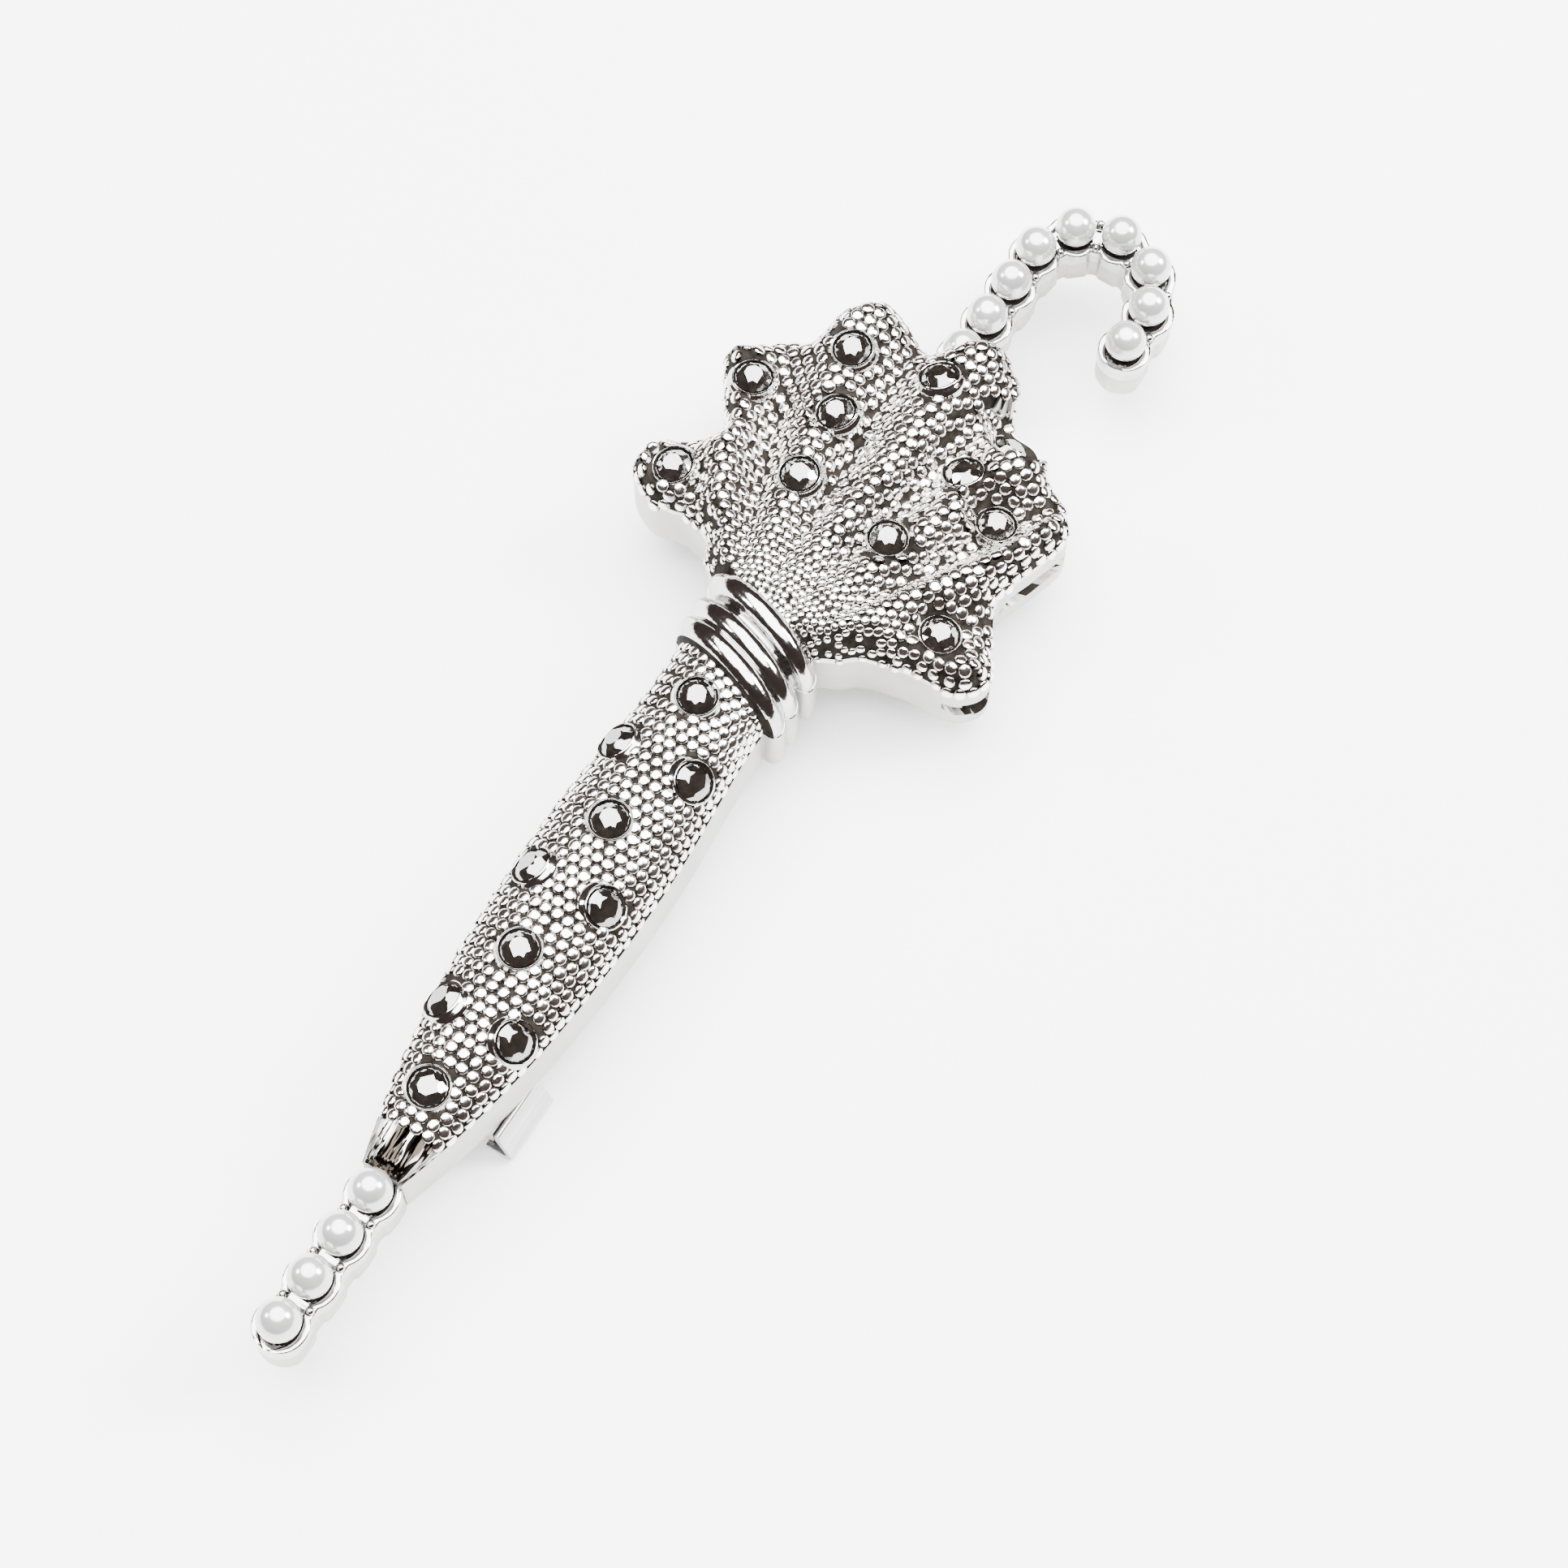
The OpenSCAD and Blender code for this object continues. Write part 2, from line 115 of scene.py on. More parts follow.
def close_up(piece, gap=0.002):
    """Merges doubles, fills open ends and turns the faces outwards."""
    pick(piece)
    bpy.ops.object.mode_set(mode="EDIT")
    bpy.ops.mesh.select_all(action="SELECT")
    bpy.ops.mesh.remove_doubles(threshold=gap * MM)
    bpy.ops.mesh.fill_holes(sides=0)
    bpy.ops.mesh.select_all(action="SELECT")
    bpy.ops.mesh.normals_make_consistent(inside=False)
    bpy.ops.object.mode_set(mode="OBJECT")


def shaped_grid(name, places):
    """A grid primitive whose vertices are moved to places, an array of rows of (x, y, z) in mm."""
    rows, columns = places.shape[:2]
    bpy.ops.object.select_all(action="DESELECT")
    bpy.ops.mesh.primitive_grid_add(x_subdivisions=columns - 1, y_subdivisions=rows - 1, size=1)
    piece = added(name)
    piece.data.vertices.foreach_set("co", (places * MM).astype(np.float32).ravel())
    piece.data.update()
    close_up(piece)
    return piece


def smooth(piece, degrees=40):
    pick(piece)
    bpy.ops.object.shade_smooth_by_angle(angle=math.radians(degrees))


def paint(piece, finishes, choose):
    """Gives every face the finish whose number choose(middle in mm, normal) returns."""
    piece.data.materials.clear()
    for finish in finishes:
        piece.data.materials.append(finish)
    for face in piece.data.polygons:
        face.material_index = choose(face.center / MM, face.normal)


# %% [markdown]
# ## The turning helper
# Round pieces such as the cups around the stones are turned: a disc primitive is extruded ring by
# ring along a profile of radii and heights, as a lathe follows its template.


# %% Turning helper
def turned(name, profile, steps):
    """A closed round piece from a profile of (radius, height) in mm, from its foot to its last ring."""
    radius, height = profile[0]
    bpy.ops.object.select_all(action="DESELECT")
    bpy.ops.mesh.primitive_circle_add(
        vertices=steps, radius=radius * MM, fill_type="NGON", location=(0, 0, height * MM))
    piece = added(name)
    settle(piece)
    bpy.ops.object.mode_set(mode="EDIT")
    bpy.ops.mesh.select_all(action="SELECT")
    for wide, high in profile[1:]:
        bpy.ops.mesh.extrude_region_move(
            TRANSFORM_OT_translate={"value": (0, 0, (high - height) * MM)})
        bpy.ops.transform.resize(value=(wide / radius, wide / radius, 1))
        radius, height = wide, high
    bpy.ops.mesh.select_all(action="SELECT")
    bpy.ops.mesh.normals_make_consistent(inside=False)
    bpy.ops.object.mode_set(mode="OBJECT")
    return piece


def copied(piece, name, place):
    """A copy with its own mesh, moved by the matrix place."""
    copy = piece.copy()
    copy.data = piece.data.copy()
    copy.name = copy.data.name = name
    bpy.context.scene.collection.objects.link(copy)
    copy.data.transform(place)
    return copy


def joined(name, pieces):
    """Several pieces made one."""
    bpy.ops.object.select_all(action="DESELECT")
    for piece in pieces:
        piece.select_set(True)
    bpy.context.view_layer.objects.active = pieces[0]
    bpy.ops.object.join()
    return added(name)


def dropped(piece):
    """Deletes a pattern piece once it has been copied."""
    bpy.data.objects.remove(piece)


def standing(place, axis, spin=0.0):
    """The matrix that stands a piece made around +Z at place (mm), along axis."""
    lean = Vector((0, 0, 1)).rotation_difference(Vector(axis))
    return (Matrix.Translation(Vector(place) * MM) @ lean.to_matrix().to_4x4()
            @ Matrix.Rotation(spin, 4, "Z"))


# %% [markdown]
# ## Shader maths
# A material's numbers are written as Python expressions. One small class wraps a socket, and its
# operators add the Math nodes.


# %% Shader values and finishes
class Value:
    """One number on its way through a material's nodes."""

    def __init__(self, tree, socket):
        self.tree = tree
        self.socket = socket

    def math(self, operation, first, second):
        node = self.tree.nodes.new("ShaderNodeMath")
        node.operation = operation
        for slot, number in enumerate((first, second)):
            if isinstance(number, Value):
                self.tree.links.new(number.socket, node.inputs[slot])
            else:
                node.inputs[slot].default_value = number
        return Value(self.tree, node.outputs[0])

    def __add__(self, other):
        return self.math("ADD", self, other)

    def __mul__(self, other):
        return self.math("MULTIPLY", self, other)

    def __pow__(self, other):
        return self.math("POWER", self, other)

    __radd__ = __add__
    __rmul__ = __mul__


class Finish:
    """A material on one Principled shader. Constants are set on the shader's own sockets."""

    def __init__(self, name, **constants):
        self.material = bpy.data.materials.new(name)
        self.material.use_nodes = True
        self.tree = self.material.node_tree
        self.shader = self.tree.nodes["Principled BSDF"]
        for socket, number in constants.items():
            self.shader.inputs[socket.replace("_", " ")].default_value = number

    def node(self, kind, settings=None, inputs=None, output=0):
        node = self.tree.nodes.new(kind)
        for setting, choice in (settings or {}).items():
            if setting == "stops":
                ramp = node.color_ramp.elements
                while len(ramp) < len(choice):
                    ramp.new(0.5)
                for stop, (place, colour) in zip(ramp, choice):
                    stop.position = place
                    stop.color = colour
            else:
                setattr(node, setting, choice)
        for slot, number in (inputs or {}).items():
            if isinstance(number, Value):
                self.tree.links.new(number.socket, node.inputs[slot])
            else:
                node.inputs[slot].default_value = number
        return Value(self.tree, node.outputs[output])

    def spot(self, stretch=(1000, 1000, 1000)):
        """The place on the piece, in millimetres unless it is stretched otherwise."""
        place = self.node("ShaderNodeTexCoord", output=3)
        return self.node("ShaderNodeMapping", {}, {"Vector": place, "Scale": stretch})

    def noise(self, place, scale, detail=3.0):
        return self.node("ShaderNodeTexNoise", {}, {"Vector": place, "Scale": scale, "Detail": detail})

    def ramp(self, factor, stops):
        return self.node("ShaderNodeValToRGB", {"stops": stops}, {"Fac": factor})

    def feed(self, socket, number):
        self.tree.links.new(number.socket, self.shader.inputs[socket])

    def bump(self, height, depth_mm, strength=1.0):
        self.feed("Normal", self.node(
            "ShaderNodeBump", {}, {"Height": height, "Distance": depth_mm * MM, "Strength": strength}))


def grey(level, tint=0.0):
    """A grey with a little warmth."""
    return (level * (1 + tint), level, level * (1 - tint), 1)


# %% [markdown]
# ## Metal finishes
# The relief is plated and polished: nearly a mirror, with a slightly uneven polish. The side walls
# keep the satin skin of the mould, with fine pits. Deep between the pebbles the shade is painted in
# as near black, and the plain cone behind the tip has dark and bright streaks painted in as reflections.


# %% Metal
def plated_metal():
    finish = Finish("bright_plating", Metallic=1.0, IOR=2.0)
    place = finish.spot()
    cloud = finish.noise(place, 0.9)
    finish.feed("Base Color", finish.ramp(cloud, [(0.3, grey(0.44, 0.02)), (0.7, grey(0.58, 0.012))]))
    finish.feed("Roughness", finish.noise(place, 2.3) * 0.10 + 0.05)
    finish.bump(finish.noise(place, 0.7, 3.0), 0.10, 0.7)
    return finish.material


def painted_reflection_metal():
    finish = Finish("painted_reflection_plating", Metallic=1.0)
    along = finish.spot((260, 1300, 1300))
    painted_streaks = finish.noise(along, 0.8, 2.0)
    # Painted reflections: the dark and bright streaks in the colour stand for what the cone reflects.
    finish.feed("Base Color", finish.ramp(painted_streaks, [(0.50, grey(0.03, 0.2)), (0.62, grey(0.50, 0.02))]))
    finish.feed("Roughness", finish.noise(along, 2.0) * 0.10 + 0.08)
    finish.bump(painted_streaks, 0.9)
    return finish.material


def pebble_metal():
    finish = Finish("pebble_plating", Metallic=1.0)
    place = finish.spot()
    worn = finish.node("ShaderNodeAttribute", {"attribute_name": "worn"}, output=2)
    cells = finish.node("ShaderNodeTexVoronoi", {}, {"Vector": place, "Scale": 1.1}, output=1)
    mix = finish.node("ShaderNodeSeparateColor", {}, {"Color": cells})
    level = worn ** 1.1 * (mix * 0.25 + 0.72)
    # Painted shade: the colour runs from near black at a pebble's foot to bright on its top.
    finish.feed("Base Color", finish.ramp(
        level, [(0.0, grey(0.003, 0.3)), (0.40, grey(0.05, 0.15)),
                (0.64, grey(0.66, 0.05)), (0.95, grey(0.92, 0.02))]))
    finish.feed("Roughness", finish.noise(place, 1.7) * 0.14 + 0.07)
    finish.bump(finish.noise(place, 2.6, 4.0), 0.03, 0.7)
    return finish.material


def painted_shade_metal():
    # Painted shade: a near-black finish for the gaps under the pebbles, the slots, the cups and around the
    # pearls, where shade falls.
    finish = Finish("painted_crevice_shade", Metallic=0.3, Specular_IOR_Level=0.02)
    place = finish.spot()
    finish.feed("Base Color", finish.ramp(
        finish.noise(place, 1.4), [(0.3, grey(0.005, 0.25)), (0.75, grey(0.022, 0.15))]))
    finish.feed("Roughness", finish.noise(place, 3.0) * 0.2 + 0.6)
    return finish.material


def satin_metal():
    finish = Finish("satin_wall", Metallic=0.85)
    place = finish.spot()
    cloud = finish.noise(place, 0.35, 4.0)
    finish.feed("Base Color", finish.ramp(cloud, [(0.3, grey(0.38, 0.035)), (0.7, grey(0.48, 0.02))]))
    pits = finish.node("ShaderNodeTexVoronoi", {}, {"Vector": place, "Scale": 1.9})
    finish.feed("Roughness", cloud * 0.12 + 0.36)
    finish.bump(finish.noise(place, 4.5, 5.0) * 0.5 + pits ** 0.3, 0.03, 0.8)
    return finish.material


def sheet_steel(name, light, dark, rough):
    finish = Finish(name, Metallic=1.0)
    along = finish.spot((60, 1500, 1500))
    grain = finish.noise(along, 2.0, 5.0)
    finish.feed("Base Color", finish.ramp(grain, [(0.3, grey(dark, 0.01)), (0.7, grey(light, 0.008))]))
    finish.feed("Roughness", grain * 0.12 + rough)
    finish.bump(grain, 0.006, 0.5)
    return finish.material


bright = plated_metal()
cone_painted_reflections = painted_reflection_metal()
pebbled = pebble_metal()
painted_shade = painted_shade_metal()
satin = satin_metal()
nickel = sheet_steel("nickel_sheet", 0.60, 0.46, 0.2)
spring = sheet_steel("spring_sheet", 0.50, 0.36, 0.26)
print("metal finishes:", len(bpy.data.materials))


# %% [markdown]
# ## Pearl and stone finishes
# An imitation pearl is white lacquer over plastic: a milky body under a clear glossy coat. A cut
# stone is clear glass, and the facets underneath carry a mirror foil.


# %% Pearl and stone
def pearl_lacquer():
    finish = Finish("pearl_lacquer", Metallic=0.55, Coat_Weight=1.0, Coat_Roughness=0.04)
    place = finish.spot()
    cloud = finish.noise(place, 0.5)
    finish.feed("Base Color", finish.ramp(cloud, [(0.3, grey(0.50, 0.012)), (0.7, grey(0.60, 0.006))]))
    finish.feed("Roughness", cloud * 0.1 + 0.15)
    return finish.material


def cut_glass():
    finish = Finish("cut_glass", Transmission_Weight=1.0, IOR=1.5, Metallic=0.25)
    place = finish.spot()
    finish.feed("Roughness", finish.noise(place, 1.2) * 0.02)
    finish.feed("Base Color", finish.ramp(
        finish.noise(place, 0.6), [(0.2, (0.99, 0.985, 0.98, 1)), (0.8, (1, 1, 1, 1))]))
    return finish.material


def mirror_foil():
    finish = Finish("mirror_foil", Metallic=1.0)
    place = finish.spot()
    finish.feed("Base Color", finish.ramp(
        finish.noise(place, 1.6), [(0.38, grey(0.30, 0.03)), (0.55, grey(0.97, 0.005))]))
    finish.feed("Roughness", finish.noise(place, 2.0) * 0.1 + 0.12)
    return finish.material


lacquer = pearl_lacquer()
glass = cut_glass()
foil = mirror_foil()
print("all finishes:", len(bpy.data.materials))

# %% [markdown]
# ## The shape of the casting
# The same few formulas that shape the casting in the frame are used here, with finer steps. The
# canopy is a row of half-ellipses on upright walls, and the collar is three half-round rings on it.
# All heights are above the casting's flat back.

# %% Shape of the canopy
back_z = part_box("base_bar")[1].z / MM
WALL = pearl_z - back_z
BODY_W, CROWN = 9.6, 3.1
NECK_W, RING = 8.2, 1.1
BODY_TIP, BODY_WIDE, NECK = -37.0, -11.0, 2.4
BODY_POWER = 2.4
RING_X = (5.2, 6.9, 9.3)
RING_REACH, RING_SLANT = 1.05, 0.3
COLLAR_END = 10.6
LEDGE = 0.10


def ease(t):
    return (1 - np.cos(np.pi * np.clip(t, 0, 1))) / 2


def blend(a, b, t):
    return a + (b - a) * t


def ring_rise(x):
    return max(math.sqrt(max(0.0, 1 - ((x - r) / RING_REACH) ** 2)) for r in RING_X)


def taper(x):
    return min(1.0, max(0.0, (BODY_WIDE - x) / (BODY_WIDE - BODY_TIP)))


def half_width(x):
    if x < BODY_WIDE:
        return blend(1.45, BODY_W / 2, 1 - taper(x) ** BODY_POWER)
    narrow = ease((x - BODY_WIDE) / (NECK - BODY_WIDE))
    return blend(BODY_W / 2, NECK_W / 2, narrow) + RING * ring_rise(x)


def crown(x):
    if x < BODY_WIDE:
        nose = 0.6 * (1 - math.exp(-max(0.0, x - BODY_TIP) / 0.5)) * taper(x) ** 9
        return blend(0.3, CROWN, 1 - taper(x) ** BODY_POWER) + nose
    return CROWN + RING * ring_rise(x)


def slant(x):
    return RING_SLANT * float(ease((x - NECK + 4) / 6))


def canopy_point(x, angle):
    """A point of the crown at station x, from -90 degrees (right wall) to 90 (left wall)."""
    y = half_width(x) * math.sin(angle)
    return Vector((x + slant(x) * y, y, back_z + WALL + crown(x) * math.cos(angle)))


print("the casting's back is at", round(back_z, 3), "mm and its walls are", round(WALL, 3), "mm high")

# %% [markdown]
# ## The rolled canopy and its collar
# One tube of stations carries the walls, the crown, the rings and the hollow in the back. The
# stations are close together at the collar, where the rings turn quickly.

# %% Build the canopy
HOLLOW, SHELL = 2.4, 1.4
HOLLOW_FROM, HOLLOW_TO = -31.0, 8.6
CROWN_STEPS = 44


def canopy_section(x):
    w = half_width(x)
    lean = slant(x)
    rise = [(-w - LEDGE, h) for h in (0.12, 1.2, 2.4, 3.4, WALL - 0.08)]
    right_side = [(-w - LEDGE + 0.1, 0.0)] + rise + [(-w - LEDGE + 0.06, WALL)]
    arc = [(w * math.sin(a), WALL + crown(x) * math.cos(a))
           for a in np.linspace(-math.pi / 2, math.pi / 2, CROWN_STEPS + 1)]
    left_side = [(-y, z) for y, z in reversed(right_side)]
    inner = max(0.4, w - RING * ring_rise(x) * (x > NECK) - SHELL)
    deep = HOLLOW if HOLLOW_FROM <= x <= HOLLOW_TO else 0.0
    hollow = [(inner, 0.0), (inner, deep), (-inner, deep), (-inner, 0.0)]
    loop = right_side + arc + left_side + hollow
    loop.append(loop[0])
    return [(x + lean * y, y, back_z + z) for y, z in loop]


stations = np.concatenate([
    np.linspace(BODY_TIP, NECK, 130, endpoint=False), np.linspace(NECK, COLLAR_END, 90),
    (HOLLOW_FROM - 0.01, HOLLOW_FROM, HOLLOW_TO, HOLLOW_TO + 0.01)])
canopy = shaped_grid("canopy_and_collar", np.array([canopy_section(x) for x in sorted(stations)]))
smooth(canopy, 35)

PEBBLES_FROM, PEBBLES_TO = -33.6, 4.35


def canopy_finish(place, normal):
    unslanted = place.x - slant(place.x) * place.y
    if place.z < back_z + WALL - 0.05 or normal.z < -0.2:
        return 2
    # The cone gets painted reflection streaks, and the crown under the pebbles gets painted shade.
    if unslanted < PEBBLES_FROM:
        return 3
    return 0 if unslanted < PEBBLES_TO else 1


paint(canopy, [painted_shade, bright, satin, cone_painted_reflections], canopy_finish)
print("canopy faces:", len(canopy.data.polygons))

# %% [markdown]
# ## Where the stones and pearls sit
# Each stone's place and lean are read from the frame. A stone's largest flat face is its table, so
# the normal that most of its area shares is the stone's axis.

# %% Places of the stones and pearls
STONE_R = 1.3
TABLE_H = 0.52
CUP_R = STONE_R + 0.3


def stone_place(node):
    """(middle of the girdle in mm, axis) of a cut stone in the frame."""
    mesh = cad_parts[node].data
    mesh.calc_loop_triangles()
    shares = {}
    for face in mesh.loop_triangles:
        key = tuple(round(c, 2) for c in face.normal)
        area, moment = shares.get(key, (0.0, Vector()))
        shares[key] = (area + face.area, moment + face.area * Vector(face.center))
    key, (area, moment) = max(shares.items(), key=lambda item: item[1][0])
    axis = Vector(key).normalized()
    return moment / area / MM - axis * TABLE_H, axis


stone_nodes = sorted(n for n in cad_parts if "stone" in n)
pearl_nodes = sorted(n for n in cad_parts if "pearl" in n)
stones = {node: stone_place(node) for node in stone_nodes}
pearls = {node: middle(node) for node in pearl_nodes}
PEARL_R = (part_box("tip_pearl_1")[1].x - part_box("tip_pearl_1")[0].x) / 2 / MM
print(len(stones), "stones and", len(pearls), "pearls of", round(2 * PEARL_R, 2), "mm")

# %% [markdown]
# ## The pleated hem
# The hem spreads behind the collar like a fan. Its outline is a smooth curve through a few points,
# its pleats are crests and valleys that radiate from the collar, and its rim is rounded over
# onto the side wall. Two slots in the wall show the fold of the cloth beneath.

# %% Shape of the hem
HEM_C = np.array((16.5, 0.0))
HEM_V = np.array((3.0, 0.0))
HEM_KEYS = np.array((
    (11.4, 5.8), (13.4, 7.2), (14.3, 9.5), (14.0, 12.3), (15.7, 14.8), (18.5, 14.3),
    (21.2, 11.1), (24.4, 12.7), (27.3, 14.1), (29.5, 12.2),
    (31.6, 9.5), (34.6, 8.9), (36.8, 6.6), (36.1, 4.0),
    (34.9, 1.8), (37.0, 0.2), (38.0, -2.5), (36.3, -4.8),
    (33.8, -6.1), (33.2, -8.5), (30.3, -11.1),
    (29.0, -13.1), (26.7, -14.4), (23.8, -13.7),
    (20.2, -12.7), (17.0, -14.1), (14.2, -15.4), (12.3, -13.9),
    (12.0, -10.4), (11.2, -7.1), (9.9, -5.2), (8, 0)))
PLEATS = np.array((
    (-180, 0.3), (-80, 0.3), (-60, 1), (-41, 0), (-31, 1), (-25.5, 0.1), (-18, 1),
    (-9.5, 0.1), (-3, 1), (5, 0.25), (13, 1), (21, 0.1), (30, 1), (37, 0.1),
    (46, 1), (66, 0.3), (180, 0.3)))
PLEAT_H = 2.5
KEY_STEPS = 10
RIM = 1.7
# The surface around a stone lies this far below its girdle, and climbs again beyond its cup
SEAT_SINK, SEAT_CLIMB, SEAT_REACH = 0.14, 1.1, 3.2


def hem_curve(steps):
    """The outline as a closed Catmull-Rom curve."""
    points = []
    for i in range(len(HEM_KEYS)):
        a, b, c, d = (HEM_KEYS[(i + k) % len(HEM_KEYS)] for k in (-1, 0, 1, 2))
        for t in np.linspace(0, 1, steps, endpoint=False):
            points.append(0.5 * (2 * b + (c - a) * t + (2 * a - 5 * b + 4 * c - d) * t ** 2
                                 + (3 * b - a - 3 * c + d) * t ** 3))
    return np.array(points)


outline = hem_curve(KEY_STEPS)
inward = np.roll(outline, -1, axis=0) - outline


def rim_distance(places):
    """How far each (x, y) lies from the outline, negative outside it."""
    gap = places[:, None, :] - outline[None]
    t = np.clip((gap * inward).sum(2) / (inward ** 2).sum(1), 0, 1)
    near = np.sqrt(((gap - inward[None] * t[..., None]) ** 2).sum(2)).min(1)
    crossing = (outline[None, :, 1] > places[:, None, 1]) != (
        np.roll(outline, -1, axis=0)[None, :, 1] > places[:, None, 1])
    rise = np.where(np.abs(inward[:, 1]) < 1e-9, 1e-9, inward[:, 1])
    meets = outline[None, :, 0] + (places[:, None, 1] - outline[None, :, 1]) / rise * inward[:, 0]
    inside = (crossing & (places[:, None, 0] < meets)).sum(1) % 2 == 1
    return np.where(inside, near, -near)


def hem_height(places):
    """Height of the pleats above the casting's back at (x, y), sunk a little around every stone."""
    off = places - HEM_V
    direction = np.degrees(np.arctan2(off[:, 1], off[:, 0]))
    wave = ease(np.interp(direction, PLEATS[:, 0], PLEATS[:, 1]))
    out = ease((np.hypot(off[:, 0], off[:, 1]) - 7) / 16)
    height = blend(blend(2.9, 0.5, out), blend(3.1, PLEAT_H, out), wave)
    t = np.clip(rim_distance(places) / RIM, 0, 1)
    height = WALL + height * (1 - (1 - t) ** 2)
    for middle_of, axis in stones.values():
        east, north = places[:, 0] - middle_of.x, places[:, 1] - middle_of.y
        plane = -(east * axis.x + north * axis.y) / axis.z
        reach = np.sqrt(east ** 2 + north ** 2 + plane ** 2)
        seat = middle_of.z - back_z + plane - SEAT_SINK + np.maximum(0, reach - CUP_R) * SEAT_CLIMB
        seat = np.maximum(seat, WALL / 2)
        height = np.where(reach < SEAT_REACH, np.minimum(height, seat), height)
    return height


print("hem outline:", len(outline), "points")

# %% [markdown]
# ## Building the hem
# On the real clip the hem belongs to the same casting and is hollow behind. Its grid runs in rings
# from the middle to the rim, down the wall, and back through the hollow. Sculpting could give the
# pleats too, but the rings keep the walls upright and the slots in their places.

# %% Build the hem
RINGS = np.concatenate([np.linspace(0.03, 0.86, 34), 1 - np.geomspace(0.12, 0.004, 9), [1.0]])
WALL_LEVELS = (WALL - 0.12, 3.7, 3.4, 3.1, 2.8, 2.5, 2.2, 1.9, 1.6, 1.3, 1.0, 0.7, 0.4, 0.12)
# Slots: (x of the middle, x reach, y below which it lies, height of the middle, half height)
SLOTS = ((24.0, 3.6, -11.0, 2.05, 0.75), (14.0, 2.3, -13.2, 2.0, 0.8))
SLOT_DEPTH = 0.75


def ring_at(s):
    return HEM_C + (outline - HEM_C) * s


def slot_depth(places, z):
    """How far the side wall steps back in the slots."""
    deep = np.zeros(len(places))
    for mid, reach, low, level, half in SLOTS:
        along = np.clip(1 - ((places[:, 0] - mid) / reach) ** 2, 0, 1)
        open_half = half * along
        inside = (places[:, 1] < low) & (abs(z - level) < open_half)
        deep = np.where(inside, SLOT_DEPTH * np.sqrt(along), deep)
    return deep


rows = []
for s in RINGS:
    flat = ring_at(s)
    rows.append(np.column_stack([flat, hem_height(flat)]))
out = HEM_C - outline
out = out / np.linalg.norm(out, axis=1)[:, None]
edge = rows[-1][:, 2]
for number, z in enumerate(WALL_LEVELS):
    level = np.minimum(z, edge * (1 - (number + 1) / (len(WALL_LEVELS) + 1)))
    rows.append(np.column_stack([outline + out * slot_depth(outline, z)[:, None], np.where(
        edge > WALL - 0.01, z, level)]))
reach = np.linalg.norm(outline - HEM_C, axis=1)[:, None]
inner = HEM_C + (outline - HEM_C) * (1 - (SHELL + 0.6) / reach)
foot = HEM_C + (outline - HEM_C) * (1 - 0.1 / reach)
rows.append(np.column_stack([foot, np.zeros(len(outline))]))
rows.append(np.column_stack([inner, np.zeros(len(outline))]))
rows.append(np.column_stack([inner, np.full(len(outline), HOLLOW)]))
rows.append(np.column_stack([HEM_C + (inner - HEM_C) * 0.05, np.full(len(outline), HOLLOW)]))
hem_rows = np.array(rows)
hem_rows[:, :, 2] += back_z
hem_rows = np.concatenate([hem_rows, hem_rows[:, :1]], axis=1)
hem = shaped_grid("pleated_hem", hem_rows)
smooth(hem, 40)


def hem_finish(place, normal):
    inside = rim_distance(np.array([[place.x, place.y]]))[0]
    # Painted shade: the top under the pebbles, the sunk seats by the stones and the slots get the
    # near-black finish.
    if place.z > back_z + WALL - 0.02 or (normal.z > 0.5 and place.z > back_z + WALL / 2 - 0.1):
        return 0 if inside > 0.12 else 2
    in_slot = place.y < -9 and inside > 0.25 and place.z > back_z + 0.6 and (
        math.hypot(place.x - HEM_C[0], place.y) > 9)
    return 0 if in_slot else 1


paint(hem, [painted_shade, satin, bright], hem_finish)
print("hem faces:", len(hem.data.polygons))

# %% [markdown]
# ## Pebbles
# The cloth is suggested by rows of low pebbles with thin dark gaps. One pebble is half a sphere
# with a flattened top and steep sides, cut from a sphere primitive.

# %% One pebble
random.seed(7)
PEBBLE = 0.92
PEBBLE_H = 0.19
SUNK = 0.12

bpy.ops.object.select_all(action="DESELECT")
bpy.ops.mesh.primitive_uv_sphere_add(segments=10, ring_count=8, radius=1)
pattern = added("pebble_pattern")
bpy.ops.object.mode_set(mode="EDIT")
bpy.ops.mesh.select_all(action="SELECT")
bpy.ops.mesh.bisect(plane_co=(0, 0, -0.01), plane_no=(0, 0, 1), clear_inner=True)
bpy.ops.object.mode_set(mode="OBJECT")
half_ball = np.array([v.co[:] for v in pattern.data.vertices])
ball_faces = [list(p.vertices) for p in pattern.data.polygons]
dropped(pattern)
radial = np.hypot(half_ball[:, 0], half_ball[:, 1])
swell = np.where(radial > 1e-6, radial ** 0.7 / np.maximum(radial, 1e-6), 0)
pebble_xy = half_ball[:, :2] * swell[:, None]
pebble_z = np.clip(half_ball[:, 2], 0, 1) ** 0.6
print("pebble faces:", len(ball_faces))
